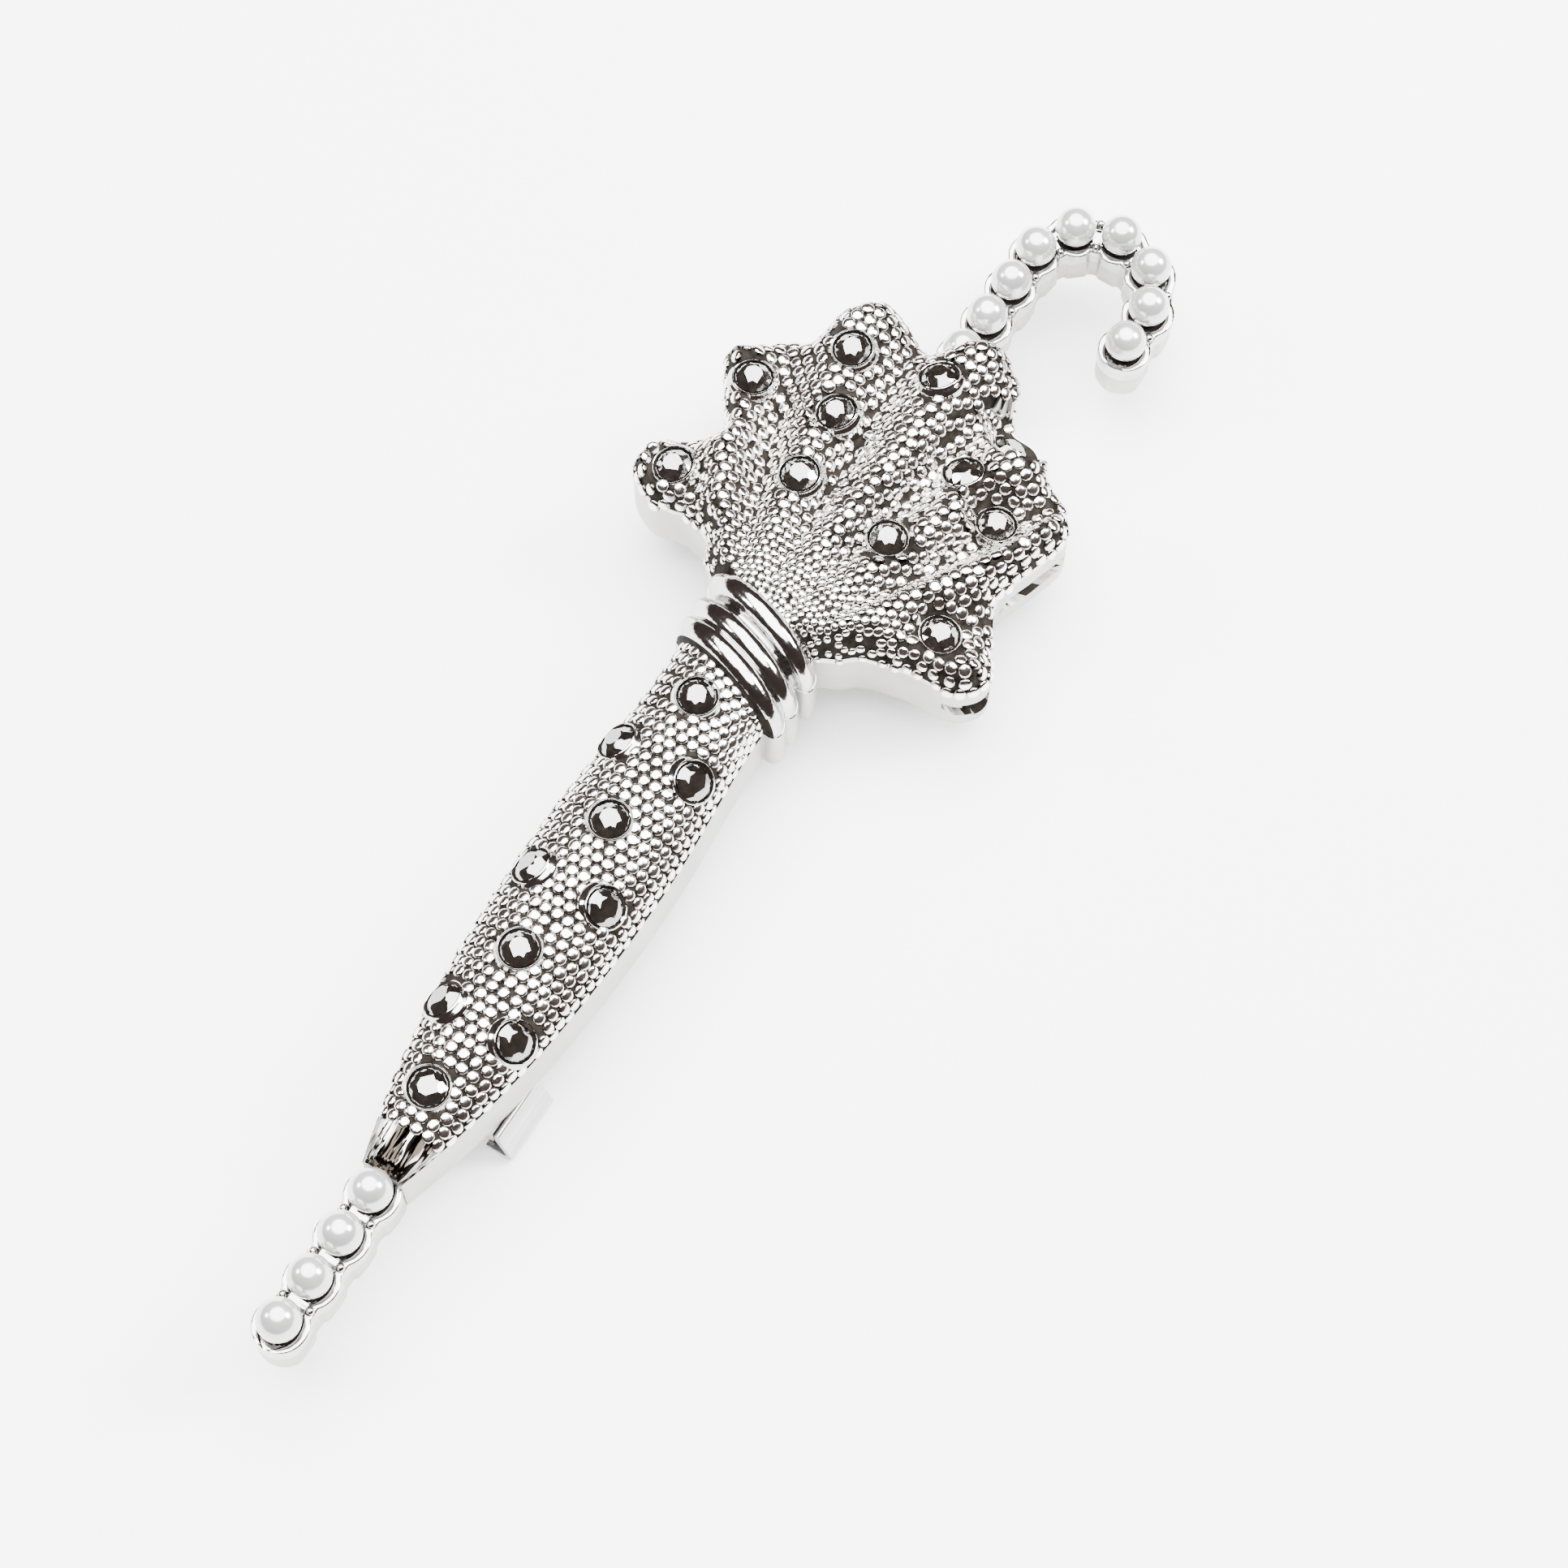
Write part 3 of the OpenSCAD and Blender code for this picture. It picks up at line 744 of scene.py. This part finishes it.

# %% [markdown]
# ## A field of pebbles
# The pebbles are cast with the rest, so a field of them is one mesh. Each lies along the normal of
# the surface. An attribute grows from a pebble's foot to its top, and the finish uses it for painted
# shade: near black at the feet in the gaps, bright on the tops.


# %% Pebble mesh
def pebble_piece(name, seats):
    """One mesh of pebbles; seats are (place, normal, along, radius)."""
    points, faces = [], []
    for place, normal, along, radius in seats:
        side = normal.cross(along).normalized()
        along = side.cross(normal).normalized()
        base = len(points) * len(half_ball)
        squash = 1 + random.uniform(-0.07, 0.07)
        high = PEBBLE_H * random.uniform(0.85, 1.15) * min(1, radius / PEBBLE * 2.2)
        a = np.outer(pebble_xy[:, 0] * radius * squash, along)
        b = np.outer(pebble_xy[:, 1] * radius / squash, side)
        c = np.outer(pebble_z * (high + SUNK) - SUNK, normal)
        points.append(np.array(place) + a + b + c)
        faces += [[base + i for i in face] for face in ball_faces]
    mesh = bpy.data.meshes.new(name)
    mesh.from_pydata((np.concatenate(points) * MM).tolist(), [], faces)
    # This attribute carries the painted shade from a pebble's foot to its top.
    worn = mesh.attributes.new("worn", "FLOAT", "POINT")
    worn.data.foreach_set("value", np.tile(pebble_z, len(seats)).astype(np.float32))
    piece = bpy.data.objects.new(name, mesh)
    bpy.context.scene.collection.objects.link(piece)
    pick(piece)
    bpy.ops.object.mode_set(mode="EDIT")
    bpy.ops.mesh.select_all(action="SELECT")
    bpy.ops.mesh.fill_holes(sides=0)
    bpy.ops.mesh.select_all(action="SELECT")
    bpy.ops.mesh.normals_make_consistent(inside=False)
    bpy.ops.object.mode_set(mode="OBJECT")
    smooth(piece, 75)
    piece.data.materials.append(pebbled)
    return piece


# %% [markdown]
# ## Pebbles on the canopy
# The rolled cloth has level rows around it, each half a step from the one before. A bump texture
# could draw them, but only real pebbles show at the outline and hide each other from the side.


# %% Pebbles on the canopy
def clear_of_stones(place, radius):
    """Whether a pebble keeps off every cup, measured square to the cup's axis."""
    for middle_of, axis in stones.values():
        off = Vector(place) - middle_of
        if off.dot(axis) > -1.1 and off.length < 3 and off.cross(axis).length < CUP_R + radius * 0.15:
            return False
    return True


def canopy_normal(x, angle):
    a = canopy_point(x + 0.05, angle) - canopy_point(x - 0.05, angle)
    b = canopy_point(x, angle + 0.02) - canopy_point(x, angle - 0.02)
    return a.cross(b).normalized(), a.normalized()


EDGE_ANGLE = math.radians(84)
ROW_STEP = 0.87
angles = np.linspace(-EDGE_ANGLE, EDGE_ANGLE, 120)
seats = []
row = 0
x = PEBBLES_FROM
while x < PEBBLES_TO:
    arc = [canopy_point(x, a) for a in angles]
    lengths = np.concatenate([[0], np.cumsum([(q - p).length for p, q in zip(arc, arc[1:])])])
    count = max(2, round(lengths[-1] / PEBBLE))
    for k in range(count + row % 2):
        along_arc = (k + (0.0 if row % 2 else 0.5)) / count * lengths[-1]
        angle = float(np.interp(along_arc + random.uniform(-0.05, 0.05), lengths, angles))
        spot_x = x + random.uniform(-0.04, 0.04)
        normal, along = canopy_normal(spot_x, angle)
        place = canopy_point(spot_x, angle)
        radius = PEBBLE * 0.54 * random.uniform(0.94, 1.04)
        if clear_of_stones(place, radius):
            seats.append((place, normal, along, radius))
    row += 1
    x += PEBBLE * ROW_STEP
canopy_pebbles = pebble_piece("canopy_pebbles", seats)
print("canopy pebbles:", len(seats))

# %% [markdown]
# ## Pebbles on the hem
# On the pleats the rows are arcs around the collar, and one more row follows the rim. Rows alone
# would crowd in the valleys and part on the crests. So neighbours push each other apart until they
# lie evenly over the relief, and a pebble is added wherever one still fits.


# %% Pebbles on the hem
FINE, COARSE_FROM, COARSE_OVER = 0.55, 8, 9
PUSH = 0.3
LEAST_GAP, SHARED_PLACE = 0.67, 0.62
EDGE_INSET, EDGE_PITCH, EDGE_CLEAR = 0.28, 0.82, 0.8
FILL_PARTS, FILL_TRIES = 3, 1500


def pitch_at(spots):
    """The distance between pebbles, which grows away from the collar."""
    away = np.hypot(spots[:, 0] - HEM_V[0], spots[:, 1] - HEM_V[1])
    return blend(FINE, PEBBLE, ease((away - COARSE_FROM) / COARSE_OVER))


def arc_spots():
    """Arcs of places around the collar, a pebble apart."""
    spots = []
    away, row = 7.6, 0
    while away < 37:
        size = blend(FINE, PEBBLE, float(ease((away - COARSE_FROM) / COARSE_OVER)))
        for k in range(round(math.radians(240) * away / size)):
            angle = math.radians(-120) + (k + 0.5 * (row % 2)) * size / away
            spots.append((HEM_V[0] + away * math.cos(angle), HEM_V[1] + away * math.sin(angle)))
        away += size * ROW_STEP
        row += 1
    return np.array(spots)


def on_hem(spots):
    """The places that lie on the hem and not under the collar."""
    beyond = spots[:, 0] > COLLAR_END - 0.3 + RING_SLANT * spots[:, 1]
    spots = spots[(rim_distance(spots) > 0.02) & (beyond | (abs(spots[:, 1]) > 5.2))]
    height = hem_height(spots) + back_z
    off = np.column_stack([spots, height])[:, None] - np.array([c for c, _ in stones.values()])[None]
    axes = np.array([a for _, a in stones.values()])
    aside = np.linalg.norm(np.cross(off, axes[None]), axis=2)
    under = (aside < CUP_R + 0.22) & (np.linalg.norm(off, axis=2) < 3)
    return spots[~under.any(1)]


def steps_apart(first, second):
    """Differences (x, y) and true distances over the relief, between two sets of places."""
    apart = first[:, None] - second[None]
    rise = hem_height(first)[:, None] - hem_height(second)[None]
    return apart, np.sqrt((apart ** 2).sum(2) + rise ** 2)


def settled(spots, rounds):
    """Lets neighbours that are too close push each other apart, until they lie evenly."""
    for _ in range(rounds):
        apart, far = steps_apart(spots, spots)
        far += np.eye(len(spots)) * 9
        pitch = pitch_at(spots)
        push = np.clip((pitch[:, None] + pitch[None]) / 2 - far, 0, None) / far
        spots = on_hem(spots + PUSH * (apart * push[..., None]).sum(1))
    return spots


def filled(spots, free):
    """Adds a pebble wherever one still fits, and takes away one of two that share a place."""
    free = free[steps_apart(free, spots)[1].min(1) > LEAST_GAP * pitch_at(free)]
    far = steps_apart(free, free)[1] < LEAST_GAP * pitch_at(free)[:, None]
    chosen = [k for k in range(len(free)) if not far[k, :k].any()]
    spots = np.concatenate([spots, free[chosen]])
    far = steps_apart(spots, spots)[1] + np.triu(np.ones((len(spots), len(spots)))) * 9
    return spots[far.min(1) > SHARED_PLACE * pitch_at(spots)]


dice = np.random.default_rng(3)
edge = HEM_C + (outline - HEM_C) * (1 - EDGE_INSET / reach)
along = np.concatenate([[0], np.cumsum(np.hypot(*(np.roll(edge, -1, axis=0) - edge).T))])
marks = np.arange(0, along[-1], EDGE_PITCH)
ring = np.column_stack([np.interp(marks, along, np.append(edge[:, k], edge[0, k])) for k in (0, 1)])
inner_spots = arc_spots()
spots = np.concatenate([ring, inner_spots[rim_distance(inner_spots) > EDGE_CLEAR]])
spots = settled(on_hem(spots + dice.uniform(-0.14, 0.14, spots.shape)), 14)
free = on_hem(dice.uniform((8, -15.5), (38.2, 15), (5000, 2)))
for part in range(FILL_PARTS):
    spots = settled(filled(spots, free[part * FILL_TRIES:(part + 1) * FILL_TRIES]), 7)
sizes = pitch_at(spots)
step = 0.04
height = hem_height(spots)
east = (hem_height(spots + (step, 0)) - hem_height(spots - (step, 0))) / (2 * step)
north = (hem_height(spots + (0, step)) - hem_height(spots - (0, step))) / (2 * step)
seats = []
for (px, py), size, z, dx, dy in zip(spots, sizes, height, east, north):
    normal = Vector((-dx, -dy, 1)).normalized()
    place = Vector((px, py, back_z + z))
    radius = size * 0.56 * random.uniform(0.94, 1.04)
    seats.append((place, normal, Vector((px - HEM_V[0], py - HEM_V[1], 0)), radius))
hem_pebbles = pebble_piece("hem_pebbles", seats)
print("hem pebbles:", len(seats))

# %% [markdown]
# ## The strips under the pearls
# The pearls of the tip and of the handle sit on narrow strips. A strip is plain at its foot, and
# its rim swells around every pearl, so that it is scalloped from above.

# %% Strips
HOOK_X, HOOK_ARC_X, HOOK_R, HOOK_PITCH = 36.8, 46.6, 4.85, 3.5
TIP_X, TIP_PITCH, TIP_COUNT, HOOK_COUNT = -48.5, 3.4, 4, 9
RIM_R, WAIST, FOOT_W = 1.95, 1.45, 1.5
STRIP_TOP = WALL - 1.0
HOOK_STRAIGHT = HOOK_ARC_X - HOOK_X
HOOK_TURN = math.pi * HOOK_R


def handle_path(s):
    """(place, sideways direction) at the length s along the handle."""
    if s < HOOK_STRAIGHT:
        return Vector((HOOK_X + s, 0)), Vector((0, 1))
    a = min((s - HOOK_STRAIGHT) / HOOK_R, math.pi)
    place = Vector((HOOK_ARC_X + HOOK_R * math.sin(a), -HOOK_R * (1 - math.cos(a))))
    place.x -= max(0.0, s - HOOK_STRAIGHT - HOOK_TURN)
    return place, Vector((math.sin(a), math.cos(a)))


def tip_path(s):
    return Vector((TIP_X + s, 0)), Vector((0, 1))


def strip_row(path, s, last, pitch):
    """One section of a strip, as a closed loop of points."""
    nearest = min(max(round(s / pitch), 0), last)
    off = abs(s - nearest * pitch)
    swell = math.sqrt(max(0.0, RIM_R ** 2 - off ** 2))
    beyond = s < 0 or s > last * pitch
    wide = max(swell, 0.01) if beyond else max(swell, WAIST)
    low = min(FOOT_W + 0.25 * (swell / RIM_R) ** 2, wide)
    dip = 0.0 if beyond else 0.35 * (1 - swell / RIM_R)
    top = STRIP_TOP - dip
    share = min(1.0, wide / 0.8)
    half = [(low - 0.08 * share, 0), (low, 0.1), (low, 1.2), (low, 1.9), (wide, 2.35), (wide, top - 0.14),
            (wide - 0.05 * share, top - 0.04), (wide - 0.14 * share, top), (wide - 0.50 * share, top),
            (wide - 0.60 * share, top - 0.05), (wide - 0.66 * share, top - 0.18)]
    place, side = path(s)
    inner = wide - 0.66 * share
    trough = [(inner * t, top - 0.22) for t in np.linspace(-0.9, 0.9, 11)]
    loop = [(-w, z) for w, z in half] + trough + [(w, z) for w, z in reversed(half)]
    loop.append(loop[0])
    return [(place.x + side.x * w, place.y + side.y * w, back_z + z) for w, z in loop]


def strip(name, path, starts, last, pitch):
    """A strip over these first steps, the straight run and a rounded end."""
    end = last * pitch
    rounding = RIM_R * np.sin(np.linspace(0.5, math.pi / 2, 12))
    first = -rounding[::-1] if starts is None else starts
    run = np.arange(-0.7, end + 0.8, 0.14)
    tail = end + rounding if path is handle_path else np.arange(end, 14.2, 0.14)
    steps = np.concatenate([first, run[(run > first[-1]) & (run < tail[0])], tail])
    piece = shaped_grid(name, np.array([strip_row(path, s, last, pitch) for s in steps]))
    smooth(piece, 40)
    paint(piece, [bright, satin, painted_shade], strip_finish)
    return piece


def strip_finish(place, normal):
    if place.z < back_z + 1.95 and normal.z < 0.5:
        return 1
    # Painted contact shade: a near-black ring on the top around each pearl.
    near = min(math.hypot(place.x - c.x, place.y - c.y) for c in pearls.values())
    return 2 if near < 1.36 and normal.z > 0.5 else 0


tip_strip = strip("tip_strip", tip_path, None, TIP_COUNT - 1, TIP_PITCH)
handle_strip = strip("handle_strip", handle_path, np.array([-1.5, -1.3, -1.1]), HOOK_COUNT - 1, HOOK_PITCH)
bpy.ops.object.select_all(action="DESELECT")
bpy.ops.mesh.primitive_uv_sphere_add(segments=14, ring_count=9, radius=0.34 * MM)
grain = added("grain_pattern")
smooth(grain, 80)
grain.data.materials.append(bright)
grains = []
for path, gaps, pitch in ((tip_path, TIP_COUNT - 1, TIP_PITCH), (handle_path, HOOK_COUNT - 1, HOOK_PITCH)):
    for k in range(gaps):
        place, side = path((k + 0.5) * pitch)
        for hand in (-1.06, 1.06):
            spot = (place.x + side.x * hand, place.y + side.y * hand, back_z + STRIP_TOP - 0.12)
            grains.append(copied(grain, "grain", Matrix.Translation(Vector(spot) * MM)))
strip_grains = joined("strip_grains", grains)
dropped(grain)
print("strips:", len(tip_strip.data.polygons), "and", len(handle_strip.data.polygons), "faces")

# %% [markdown]
# ## Cups
# Each stone sits in a round cup with a thin bright lip and an inside painted dark as shade; the cup
# widens below where it grows out of the casting. Such a shape is turned from its profile.

# %% Cups
CUP_PROFILE = (
    (CUP_R + 0.2, -1.8), (CUP_R + 0.3, -0.5), (CUP_R + 0.2, -0.22), (CUP_R + 0.03, -0.08),
    (CUP_R, 0.0), (CUP_R - 0.03, 0.09), (CUP_R - 0.09, 0.13),
    (CUP_R - 0.15, 0.09), (CUP_R - 0.17, -0.05), (CUP_R - 0.18, -0.45), (CUP_R - 0.5, -0.7), (0.2, -1.0))
cup = turned("cup_pattern", CUP_PROFILE, 36)
smooth(cup, 50)
# Painted shade: the inside of the cup is near black.
paint(cup, [bright, painted_shade],
      lambda place, normal: 1 if place.xy.length < CUP_R - 0.155 and place.z > -1.7 else 0)
cups = joined("stone_cups", [
    copied(cup, "cup_" + node, standing(place, axis)) for node, (place, axis) in stones.items()])
dropped(cup)
print("cups:", len(cups.data.polygons), "faces")

# %% [markdown]
# ## One brilliant
# A stone is cut as a cutter does it: a round blank, and one plane for every facet. The mirror foil
# is on the lower facets and throws the light back up through the table.

# %% One brilliant
GIRDLE_LOW, GIRDLE_TOP = -0.15, 0.05
CULET = 0.936


def cut(place, lean, azimuth):
    """Cuts off what lies outside a facet's plane."""
    normal = Vector((math.sin(lean) * math.cos(azimuth), math.sin(lean) * math.sin(azimuth),
                     math.cos(lean)))
    bpy.ops.mesh.select_all(action="SELECT")
    bpy.ops.mesh.bisect(plane_co=place, plane_no=normal, clear_outer=True, use_fill=True,
                        threshold=1e-7)


def facets(count, first, lean_degrees, radius, height):
    for k in range(count):
        azimuth = math.radians(first + 360 * k / count)
        place = Vector((radius * math.cos(azimuth), radius * math.sin(azimuth), height)) * MM
        cut(place, math.radians(lean_degrees), azimuth)


bpy.ops.object.select_all(action="DESELECT")
bpy.ops.mesh.primitive_cylinder_add(
    vertices=32, radius=STONE_R * MM, depth=(TABLE_H + CULET) * MM,
    location=(0, 0, (TABLE_H - CULET) / 2 * MM))
brilliant = added("brilliant_pattern")
settle(brilliant)
bpy.ops.object.mode_set(mode="EDIT")
facets(8, 0, 37, STONE_R - 0.01, GIRDLE_TOP)
facets(8, 22.5, 21, 0.62, TABLE_H)
facets(16, 11.25, 43, STONE_R - 0.02, GIRDLE_TOP)
facets(8, 0, 180 - 22, STONE_R - 0.01, GIRDLE_LOW)
facets(16, 11.25, 180 - 27, STONE_R - 0.02, GIRDLE_LOW)
bpy.ops.mesh.select_all(action="SELECT")
bpy.ops.mesh.remove_doubles(threshold=1e-6)
bpy.ops.mesh.normals_make_consistent(inside=False)
bpy.ops.object.mode_set(mode="OBJECT")
paint(brilliant, [glass, foil], lambda place, normal: 1 if normal.z < -0.2 else 0)
print("facets of a stone:", len(brilliant.data.polygons))

# %% [markdown]
# ## Setting the stones
# The stones all have the same cut, so one is copied into every cup. Each copy is turned a little
# further around its axis, as real stones drop into their cups at any angle.

# %% Set the stones
for number, (node, (place, axis)) in enumerate(stones.items()):
    stone = copied(brilliant, "cut_" + node, standing(place, axis, number * 0.7))
    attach(stone, "ornament")
    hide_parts(node)
dropped(brilliant)
print("stones set:", len(stones))

# %% [markdown]
# ## Pearls
# A pearl is a ball whose underside is ground flat where it is glued into its seat.

# %% Pearls
bpy.ops.object.select_all(action="DESELECT")
bpy.ops.mesh.primitive_uv_sphere_add(segments=48, ring_count=32, radius=PEARL_R * MM)
ball = added("pearl_pattern")
bpy.ops.object.mode_set(mode="EDIT")
bpy.ops.mesh.select_all(action="SELECT")
bpy.ops.mesh.bisect(plane_co=(0, 0, -0.94 * PEARL_R * MM), plane_no=(0, 0, 1), clear_inner=True,
                    use_fill=True, threshold=1e-7)
bpy.ops.object.mode_set(mode="OBJECT")
smooth(ball, 60)
ball.data.materials.append(lacquer)
for node, place in pearls.items():
    pearl = copied(ball, "set_" + node, Matrix.Translation(place * MM))
    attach(pearl, "ornament")
    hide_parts(node)
dropped(ball)
print("pearls set:", len(pearls))

# %% [markdown]
# ## The posts and the barrette
# Two posts of the casting pass through the base bar and are staked flush. The barrette's own
# pieces keep their shapes from the frame and get their metal.

# %% Posts and barrette
POST_X, POST_R, STAKE = 21.0, 0.8, 0.3
bar_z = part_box("base_bar")[1].z / MM - 0.8
post_profile = (
    (POST_R + STAKE - 0.04, bar_z + 0.02), (POST_R + STAKE, bar_z + 0.05), (POST_R, bar_z + STAKE),
    (POST_R, back_z), (2 * POST_R - 0.1, back_z + 0.001), (2 * POST_R, back_z + 0.1),
    (2 * POST_R, back_z + HOLLOW + 0.4))
post = turned("post_pattern", post_profile, 32)
smooth(post, 40)
post.data.materials.append(satin)
posts = joined("staked_posts", [
    copied(post, "post_left", Matrix.Translation((-POST_X * MM, 0, 0))),
    copied(post, "post_right", Matrix.Translation((POST_X * MM, 0, 0)))])
dropped(post)

for node, finish in {
        "base_bar": nickel, "clasp_plate": spring, "clasp_ear_left": nickel, "clasp_ear_right": nickel,
        "tension_bar": spring, "lock_arm": nickel, "hinge_pin": nickel}.items():
    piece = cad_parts[node]
    piece.data.materials.clear()
    piece.data.materials.append(finish)
print("posts and barrette done")

# %% [markdown]
# ## What moves with the ornament
# Everything that is cast in one rides on the ornament, and stays still while the arm opens. The
# canopy stands for the casting of the frame.

# %% Ride on the ornament
for piece in (canopy, hem, canopy_pebbles, hem_pebbles, tip_strip, handle_strip, strip_grains, cups,
              posts):
    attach(piece, "ornament")
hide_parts("casting")

# %% [markdown]
# ## Floor and light
# A pale floor, one wide soft light above and smaller ones at the sides. The metal shows what
# surrounds it, so the surroundings are bright above and darker towards the horizon.

# %% Floor and lights
bpy.ops.object.select_all(action="DESELECT")
bpy.ops.mesh.primitive_plane_add(size=3)
floor = added("floor")
floor_finish = Finish("pale_floor", Roughness=0.9, Emission_Strength=0.8)
floor_white = floor_finish.ramp(
    floor_finish.noise(floor_finish.spot((20, 20, 20)), 1.0), [(0, grey(0.90)), (1, grey(0.92))])
floor_finish.feed("Base Color", floor_white)
floor_finish.feed("Emission Color", floor_white)
floor.data.materials.append(floor_finish.material)


def soft_light(name, place, size, power):
    """An area light at place (metres) that faces the clip."""
    light = bpy.data.lights.new(name, "AREA")
    light.shape = "DISK"
    light.size = size
    light.energy = power
    lamp = bpy.data.objects.new(name, light)
    bpy.context.scene.collection.objects.link(lamp)
    lamp.location = place
    lamp.rotation_mode = "QUATERNION"
    lamp.rotation_quaternion = Vector(place).to_track_quat("Z", "Y")
    return lamp


soft_light("overhead", ahead * 0.14 + Vector((0, 0, 0.70)), 1.05, 46)
soft_light("left", right * -0.65 + ahead * 0.1 + Vector((0, 0, 0.5)), 0.22, 4)
soft_light("right", right * 0.50 + ahead * 0.1 + Vector((0, 0, 0.42)), 0.28, 9)
world = bpy.data.worlds.new("studio")
world.use_nodes = True
world.node_tree.nodes["Background"].inputs["Color"].default_value = (0.085, 0.062, 0.055, 1)
bpy.context.scene.world = world
